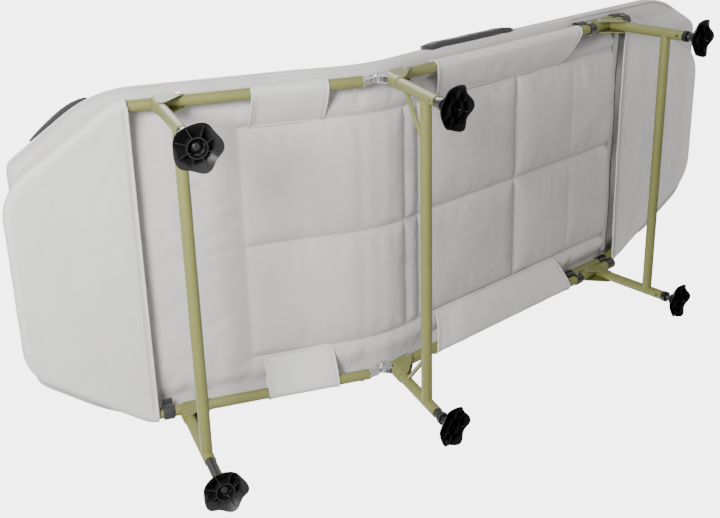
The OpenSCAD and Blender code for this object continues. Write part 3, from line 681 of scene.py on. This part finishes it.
# ------------------------------------------------------------------ sleeves and side tabs
def wrap(name, place, x0, x1, side, node, body, inner_y=270.0, inner_z=33.0, seed=1.0, wav=1.0, cut=(0.0, 0.0)):
    """Cloth that goes round a rail and in to the quilt: a hung sheet, thickened."""
    prof = []
    r = 14.0
    prof.append((inner_y, inner_z))
    for t in (0.2, 0.4, 0.6, 0.8):
        prof.append((inner_y + (HW - 7 - inner_y) * t, inner_z + (-13.6 - inner_z) * (t ** 0.9) - 2.5 * math.sin(math.pi * t)))
    for a in np.linspace(-105, 95, 13):
        prof.append((HW + r * math.cos(math.radians(a)), r * math.sin(math.radians(a))))
    prof += [(HW - 9, 17.5), (HW - 18, 23.0), (HW - 27, 28.0)]
    prof = np.array(prof)
    xs = np.linspace(x0, x1, max(8, int((x1 - x0) / 7.5)))
    V = []

    def slant(x, y):
        """The cloth is cut at a slant: its ends start further in at the quilt than on the rail."""
        t = (x - x0) / (x1 - x0)
        g = np.clip((HW - 7 - np.asarray(y, float)) / (HW - 7 - inner_y), 0, 1)
        return x + (cut[0] * (1 - t) - cut[1] * t) * g

    for i, x in enumerate(xs):
        e = min(x - x0, x1 - x)
        for j, (y, z) in enumerate(prof):
            f = j / (len(prof) - 1)
            n1 = noise.noise(Vector((x / 46.0, f * 2.2, seed * 5.0)))
            n2 = noise.noise(Vector((x / 15.0, f * 5.0, seed * 9.0)))
            k = (1.6 * n1 + 0.5 * n2) * wav
            if j <= 4:
                zz = z + k * 1.4 * (1 if j else 0.0) - 1.2 * math.exp(-e / 9.0)
                V.append((float(slant(x, y)), side * y, zz))
            else:
                dy, dz = y - HW, z
                q = math.hypot(dy, dz)
                g = 1 + max(0.0, k) / q * 0.9 + 0.06 * math.exp(-e / 10.0)
                V.append((x + (2.0 * n1 if e < 3 else 0), side * (HW + dy * g), dz * g))
    ob = make(name, place(V), grid_faces(len(xs), len(prof)), "cover_fabric")
    solidify(ob, 0.0014); subsurf(ob, 1); apply_mods(ob)
    ob.data.polygons.foreach_set("use_smooth", [True] * len(ob.data.polygons))
    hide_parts(node)
    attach(ob, body)
    # hem stitching across both ends, and two rows along the quilt
    runs = []
    for off in (6.0, 10.0):
        for xx in (x0 + off, x1 - off):
            pr = prof[:14] * [1, 1]
            q = np.array([[float(slant(xx, y)) if j <= 4 else xx, side * (HW + (y - HW) * 1.08 if j > 4 else y), (z * 1.08 if j > 4 else z - 2.2)] for j, (y, z) in enumerate(pr)])
            runs.append(q)
    for yy in (inner_y + 4, inner_y + 10):
        zz = inner_z - (yy - inner_y) * 0.62 - 1.9
        xx = np.arange(x0 + 6, x1 - 5, 6.0)
        runs.append(np.stack([slant(xx, np.full(xx.size, yy)), np.full(xx.size, side * yy), np.full(xx.size, zz)], 1))
    stitches(name + "_thread", runs, place, ride=body)
    # rolled hems round both ends and a piped seam along the quilt
    for k, xx in enumerate((x0, x1)):
        pr = prof[:17]
        q = np.array([[float(slant(xx, y)) if j <= 4 else xx, side * (HW + (y - HW) * 1.07 if j > 4 else y), (z * 1.07 if j > 4 else z - 1.2)] for j, (y, z) in enumerate(pr)])
        HV, HF = sweep(q, 1.9, 8)
        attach(make(name + "_hem_%d" % k, place(HV), HF, "cover_fabric"), body)
    xx = np.arange(x0, x1 + 0.1, 6.0)
    q = np.stack([slant(xx, np.full(xx.size, inner_y)), np.full(xx.size, side * (inner_y + 1.0)), inner_z - 1.6 + 0.8 * np.sin(xx / 31.0)], 1)
    HV, HF = sweep(q, 2.3, 8)
    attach(make(name + "_piping", place(HV), HF, "cover_fabric"), body)
    return ob


wrap("sleeve_left_cloth", seat, 158, 700, 1, "rail_sleeve_left", "seat_frame", seed=1.0, cut=(42.0, 24.0))
wrap("sleeve_right_cloth", seat, 158, 700, -1, "rail_sleeve_right", "seat_frame", seed=2.0, cut=(42.0, 24.0))
wrap("tab_left_cloth", head, -287, -121, 1, "side_tab_left", "head_frame", seed=3.0, wav=0.6)
wrap("tab_right_cloth", head, -287, -121, -1, "side_tab_right", "head_frame", seed=4.0, wav=0.6)


# ------------------------------------------------------------------ end pockets
def pocket(name, place, x0, xa, xe, r1, r2, deg, zlo, ztop, node, body, seed, sgn, lean=5.0):
    """Cloth pulled over an end loop: underside, rounded edge, wall up to the mattress side."""
    rho = 15.0
    out = half_outline(xa - 60, xa, xe, r1, r2, deg, HW, 17.5 - rho)
    xin = xe + 17.5 - rho
    xs = np.concatenate([np.arange(x0, xin - 12, 9.0), [xin - 7, xin - 3, xin - 0.8, xin]])
    ny = 61
    V, idx = [], {}
    w_end = None
    for i, x in enumerate(xs):
        w = float(np.interp(x, out[:, 0], out[:, 1]))
        if i == len(xs) - 1:
            w = float(out[-1, 1]) if out[-1, 1] > 5 else w
        for j in range(ny):
            s = -1 + 2 * j / (ny - 1)
            y = w * s
            e = x - x0
            hem = -1.4 * math.exp(-((e - 1) / 7.0) ** 2)
            # tight cloth: faint pull lines from the corners, slight hollow in the middle
            n1 = noise.noise(Vector((x / 70.0, y / 210.0, seed)))
            n2 = noise.noise(Vector(((x + abs(y) * 0.6) / 26.0, (abs(y) - x * 0.4) / 160.0, seed + 4)))
            edge = min(1.0, (1 - abs(s)) * w / 40.0) * min(1.0, max(0.0, (xin - x)) / 35.0)
            z = zlo + (2.6 + 1.8 * n1 + 1.3 * n2) * edge + hem + 5.0 * math.exp(-e / 30.0) * max(0.0, 1 - s * s) * 0.9
            V.append((x, y, z))
            idx[(i, j)] = len(V) - 1
    F = grid_faces(len(xs), ny)
    # boundary: +y side from the opening, across the end, back along -y
    B = [idx[(i, ny - 1)] for i in range(len(xs))] + [idx[(len(xs) - 1, j)] for j in range(ny - 2, 0, -1)] + [idx[(i, 0)] for i in range(len(xs) - 1, -1, -1)]
    C = np.array([V[b] for b in B])
    T = np.gradient(C[:, :2], axis=0)
    T /= np.maximum(np.linalg.norm(T, axis=1, keepdims=True), 1e-9)
    NN = np.stack([-T[:, 1], T[:, 0]], 1)
    mid = np.array([x0, 0.0])
    flip = np.sign(np.sum(NN * (C[:, :2] - mid), 1))
    NN *= flip[:, None]
    NN = (np.roll(NN, 1, 0) + NN * 2 + np.roll(NN, -1, 0)); NN[0] = [0, 1]; NN[-1] = [0, -1]
    NN /= np.linalg.norm(NN, axis=1, keepdims=True)
    prev = B
    th = list(np.linspace(15, 150, 10))
    levels = [(rho * math.sin(math.radians(t)), zlo + rho * (1 - math.cos(math.radians(t)))) for t in th]
    d0, top0 = levels[-1]
    for k in range(1, 4):
        f = k / 3.0
        levels.append((d0 + (lean - d0) * (1 - (1 - f) ** 2), top0 + (ztop - top0) * f))
    for li, (d, z) in enumerate(levels):
        cur = []
        for q in range(len(B)):
            nz = noise.noise(Vector((C[q, 0] / 40.0, C[q, 1] / 40.0, seed + li * 0.35)))
            dd = d + 0.9 * nz * min(1, li / 4.0)
            zz = z + (C[q, 2] - zlo) * max(0, 1 - li / 3.0)
            V.append((C[q, 0] + NN[q, 0] * dd, C[q, 1] + NN[q, 1] * dd, zz))
            cur.append(len(V) - 1)
        for q in range(len(B) - 1):
            F.append((prev[q], prev[q + 1], cur[q + 1], cur[q]))
        prev = cur
    V = np.array(V)
    V[:, 0] *= sgn
    ob = make(name, place(V), F, "cover_fabric")
    bm = bmesh.new(); bm.from_mesh(ob.data)
    area = sum(f.calc_area() for f in bm.faces)
    bm.free()
    solidify(ob, 0.0016, 0.0); subsurf(ob, 1); apply_mods(ob)
    ob.data.polygons.foreach_set("use_smooth", [True] * len(ob.data.polygons))
    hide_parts(node)
    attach(ob, body)
    yy = np.arange(-HW + 4, HW - 3, 6.0)
    runs = []
    for off in (9.0, 12.5):
        s = yy / HW
        e = off
        zz = zlo - 1.6 + (1.2) + 5.0 * math.exp(-e / 30.0) * np.maximum(0, 1 - s * s) * 0.9 - 1.3
        runs.append(np.stack([np.full(yy.size, sgn * (x0 + off)), yy, zz], 1))
    stitches(name + "_thread", runs, place, ride=body)
    yy = np.linspace(-HW - 2, HW + 2, 120)
    s = yy / HW
    q = np.stack([np.full(yy.size, sgn * (x0 + 1.0)), yy, zlo - 1.4 + 5.0 * np.maximum(0, 1 - s * s) * 0.9 + 0.5 * np.sin(yy / 23.0)], 1)
    HV, HF = sweep(q, 2.4, 8)
    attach(make(name + "_hem", place(HV), HF, "cover_fabric"), body)
    return ob


pocket("head_pocket_cloth", head, 543, 540, 790, 50, 90, 34, -16.5, 25.0, "head_pocket", "head_frame", 3.0, -1, lean=-3.0)
pocket("foot_pocket_cloth", seat, 945, 926, 1328, 80, 80, 24, 14.0, 50.0, "foot_pocket", "seat_frame", 8.0, 1, lean=2.0)


# ------------------------------------------------------------------ pillow
def build_pillow():
    R = 34.0
    x0, x1 = 512.0, 784.0
    out = half_outline(*H_ARGS, -8)
    ends = [R * (1 - math.cos(t)) for t in np.linspace(0, math.pi / 2, 7)]
    xs = np.array(sorted(set([round(x0 + e, 2) for e in ends] + [round(x1 - e, 2) for e in ends] + [round(v, 2) for v in np.arange(x0 + R + 7, x1 - R - 3, 9.0)])))
    nt, ns = 56, 9
    V = []
    for x in xs:
        w = float(np.interp(x, out[:, 0], out[:, 1])) - 6
        e = min(x - x0, x1 - x)
        k = max(0.03, math.sqrt(max(0, 1 - (1 - min(e, R) / R) ** 2)))
        yy = np.linspace(w - 26, -(w - 26), nt)
        s = yy / w
        zt = 84 + 44 * k * (1 - 0.25 * np.abs(s) ** 2.5) + 2.5 * np.sin(s * 9 + x / 60.0)
        zb = np.full(nt, 84 - 4.0 * k)
        th = np.linspace(0, math.pi, ns + 2)[1:-1]
        def side(y0, g, z0, z1):
            return np.stack([np.full(ns, x), y0 + g * 26 * np.sin(th) ** 0.8, 0.5 * (z0 + z1) + 0.5 * (z0 - z1) * np.cos(th)], 1)
        V.append(np.concatenate([np.stack([np.full(nt, x), yy, zt], 1), side(-(w - 26), -1, zt[-1], zb[-1]),
                                 np.stack([np.full(nt, x), yy[::-1], zb], 1), side(w - 26, 1, zt[0], zb[0])[::-1]]))
    nv = 2 * nt + 2 * ns
    V = np.concatenate(V)
    F = grid_faces(len(xs), nv, True)
    for base in (0, (len(xs) - 1) * nv):
        for j in range(nt - 1):
            F.append((base + j, base + j + 1, base + 2 * nt + ns - 2 - j, base + 2 * nt + ns - 1 - j))
        F.append(tuple([base] + [base + 2 * nt + ns - 1 + i for i in range(0, ns + 1)]))
        F.append(tuple([base + nt - 1 + i for i in range(0, ns + 2)]))
    V[:, 0] *= -1
    return V, F


PV, PF = build_pillow()
pil = make("pillow_body", PV / 1000.0, PF, "mattress_fabric")
pins = np.where(PV[:, 2] < 84, 1.0, 0.0)
mv = cloth_swell(pil, pins, 2.2, frames=14, cap=7.0, shrink=-0.04)
print("pillow cloth: mean move mm", float(mv.mean() * 1000))
pc = np.array([v.co[:] for v in pil.data.vertices]) * 1000.0
pil.data.vertices.foreach_set("co", head(pc).ravel()); pil.data.update()
subsurf(pil, 1); apply_mods(pil)
pil.data.polygons.foreach_set("use_smooth", [True] * len(pil.data.polygons))
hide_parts("pillow")
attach(pil, "head_frame")


# ------------------------------------------------------------------ webbing
def strap(name, path, widths_dir, width, thick, place, body, nodes=(), mat="webbing"):
    """A flat strap along a path (mm); widths_dir gives the unit direction across it at each point."""
    P = np.asarray(path, float); D = np.asarray(widths_dir, float)
    T = np.gradient(P, axis=0); T /= np.linalg.norm(T, axis=1, keepdims=True)
    V = []
    prof = [(-0.5, -0.28), (-0.5, 0.28), (-0.47, 0.5), (-0.2, 0.5), (0.2, 0.5), (0.47, 0.5), (0.5, 0.28), (0.5, -0.28), (0.47, -0.5), (0.2, -0.5), (-0.2, -0.5), (-0.47, -0.5)]
    for i in range(len(P)):
        n = np.cross(T[i], D[i]); n /= np.linalg.norm(n)
        for a, b in prof:
            V.append(P[i] + D[i] * a * width + n * b * thick)
    m = len(prof)
    F = grid_faces(len(P), m, True) + [tuple(range(m))[::-1], tuple((len(P) - 1) * m + k for k in range(m))]
    ob = make(name, place(V), F, mat)
    for n in nodes:
        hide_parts(n)
    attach(ob, body)
    return ob


t = np.linspace(0, 1, 60)
hx = 205 + 285 * t
hy = -378.5 - 2.5 * smooth01(np.minimum(t, 1 - t) / 0.12) - 0.5 * np.sin(t * 14)
hz = 63 + 1.2 * np.sin(t * 9.0)
dirs = np.tile([0, 0.12, 0.993], (60, 1))
handle = strap("handle_webbing", np.stack([hx, hy, hz], 1), dirs, 32, 11.0, seat, "seat_frame", ["carry_handle"])
for k, xx in enumerate((212, 483)):
    p = np.stack([np.linspace(xx - 12, xx + 12, 8), np.full(8, -378.5), np.full(8, 63.0)], 1)
    strap("handle_patch_%d" % k, p, np.tile([0, 0.1, 0.995], (8, 1)), 35, 8.0, seat, "seat_frame")

# storage strap: two turns round the left head rail and a loose tail
ang = np.linspace(0, 4.4 * math.pi, 90)
sx = -519 + 2.5 * np.sin(ang * 0.5)
rr_ = 14.4 + 0.9 * ang / (4.4 * math.pi) * 2
sp = np.stack([sx, HW + rr_ * np.cos(ang), rr_ * np.sin(ang)], 1)
tail = np.array([[-519, HW + rr_[-1] * math.cos(ang[-1]) - 6 * k, rr_[-1] * math.sin(ang[-1]) - 3.4 * k + 0.3 * k * k] for k in range(1, 7)])
sp = np.concatenate([sp, tail])
strap("strap_webbing", sp, np.tile([1, 0, 0], (len(sp), 1)), 22, 1.6, head, "head_frame", ["storage_strap"])

# dark patch strip on the pillow's corner
bx = np.linspace(608, 728, 40)
by = -(np.interp(bx, H_OUT[:, 0], H_OUT[:, 1]) - 13.0 + 9.0 * np.sin(math.pi * (bx - 608) / 120.0) ** 0.7)
tb = np.stack([-bx, by, 101 + 2.0 * np.sin(bx / 30.0)], 1)
strap("pillow_strip", tb, np.tile([0, 0.2, 0.98], (40, 1)), 26, 11.0, head, "head_frame", ["pillow_band"])

# dark binding on the quilt's foot end, in front of the pocket
yy = np.linspace(-318, 318, 90)
bz = 30 + 1.8 * np.sin(yy / 41.0)
bp_ = np.stack([926 + 1.6 * np.sin(yy / 57.0), yy, bz], 1)
strap("pad_end_binding", bp_, np.tile([0.15, 0, 0.989], (90, 1)), 16, 3.0, seat, "seat_frame", mat="binding")
bp2 = np.stack([916 + 1.2 * np.sin(yy / 57.0), yy, bz - 4], 1)
strap("pad_end_tape", bp2, np.tile([0.93, 0, -0.36], (90, 1)), 14, 1.8, seat, "seat_frame", mat="tape")

# ------------------------------------------------------------------ small edges on the sheet metal and clips
for n, w in (("head_leg_brackets", 0.5), ("mid_leg_brackets", 0.5), ("foot_leg_brackets", 0.5), ("clip_inner_left", 0.8),
             ("clip_inner_right", 0.8), ("clip_outer_left", 0.8), ("clip_outer_right", 0.8), ("hinge_body_left", 0.4), ("hinge_body_right", 0.4)):
    b = frame["nodes"][n].modifiers.new("edge", "BEVEL")
    b.width = w / 1000.0; b.segments = 2; b.limit_method = "ANGLE"; b.angle_limit = math.radians(40)
    b.harden_normals = True

# ------------------------------------------------------------------ stage
bm = bmesh.new()
bmesh.ops.create_grid(bm, x_segments=1, y_segments=1, size=9.0)
me = bpy.data.meshes.new("floor"); bm.to_mesh(me); bm.free()
floor = bpy.data.objects.new("floor", me)
bpy.context.scene.collection.objects.link(floor)
floor.location.z = -0.0005
fm, nt, b = new_mat("floor_m")
b.inputs["Base Color"].default_value = (0.86, 0.86, 0.86, 1); b.inputs["Roughness"].default_value = 0.9
gm = N(nt, "ShaderNodeNewGeometry"); tr = N(nt, "ShaderNodeBsdfTransparent"); mxs = N(nt, "ShaderNodeMixShader")
o = [n for n in nt.nodes if n.type == "OUTPUT_MATERIAL"][0]
nt.links.new(gm.outputs["Backfacing"], mxs.inputs[0]); nt.links.new(b.outputs[0], mxs.inputs[1]); nt.links.new(tr.outputs[0], mxs.inputs[2])
nt.links.new(mxs.outputs[0], o.inputs[0])
me.materials.append(fm)
floor.visible_shadow = False

# a white backdrop far above, facing down: it is only looked at, and lights nothing
bm = bmesh.new()
bmesh.ops.create_grid(bm, x_segments=1, y_segments=1, size=60.0)
bmesh.ops.reverse_faces(bm, faces=bm.faces)
me = bpy.data.meshes.new("backdrop"); bm.to_mesh(me); bm.free()
back = bpy.data.objects.new("backdrop", me)
bpy.context.scene.collection.objects.link(back)
back.location.z = 8.0
bm_, nt, b = new_mat("backdrop_m")
em = N(nt, "ShaderNodeEmission"); em.inputs["Strength"].default_value = 5.0
gm = N(nt, "ShaderNodeNewGeometry"); tr = N(nt, "ShaderNodeBsdfTransparent"); mxs = N(nt, "ShaderNodeMixShader")
o = [n for n in nt.nodes if n.type == "OUTPUT_MATERIAL"][0]
nt.links.new(gm.outputs["Backfacing"], mxs.inputs[0]); nt.links.new(em.outputs[0], mxs.inputs[1]); nt.links.new(tr.outputs[0], mxs.inputs[2])
nt.links.new(mxs.outputs[0], o.inputs[0]); nt.nodes.remove(b)
me.materials.append(bm_)
back.visible_diffuse = back.visible_glossy = back.visible_transmission = back.visible_shadow = False

w = bpy.data.worlds.new("studio"); bpy.context.scene.world = w
w.use_nodes = True
bg = w.node_tree.nodes["Background"]
bg.inputs[0].default_value = (1, 1, 1, 1); bg.inputs[1].default_value = 0.62


def area(name, loc, target, size, power, color=(1, 1, 1)):
    l = bpy.data.lights.new(name, "AREA"); l.shape = "DISK"; l.size = size; l.energy = power; l.color = color
    ob = bpy.data.objects.new(name, l)
    ob.location = loc
    ob.rotation_euler = (Vector(target) - Vector(loc)).to_track_quat("-Z", "Y").to_euler()
    bpy.context.scene.collection.objects.link(ob)
    return ob


area("key_low", (-2.4, -1.1, -0.5), (-0.5, 0, 0.4), 0.8, 110)
area("top_soft", (0.8, -1.6, 3.0), (0, 0, 0.3), 2.0, 55)
area("top_back", (-1.2, 2.2, 2.4), (0, 0, 0.3), 1.6, 25)

# ------------------------------------------------------------------ camera
cam = bpy.data.cameras.new("camera")
cam.sensor_fit = "HORIZONTAL"; cam.sensor_width = 36.0; cam.lens = 36.0 * 1119.33 / 720.0
co_ = bpy.data.objects.new("camera", cam)
R = np.array([0.7168311, 0.02503781, -0.69679716])
D = np.array([-0.27497447, 0.92850986, -0.24951651])
Fw = np.array([0.64073568, 0.37046263, 0.6724695])
M = Matrix([[R[0], -D[0], -Fw[0], 0], [R[1], -D[1], -Fw[1], 0], [R[2], -D[2], -Fw[2], 0], [0, 0, 0, 1]])
M.translation = Vector(((-1684.83 + OX) / 1000.0, -883.50 / 1000.0, (-1678.01 + UP) / 1000.0))
co_.matrix_world = M
bpy.context.scene.collection.objects.link(co_)
bpy.context.scene.camera = co_
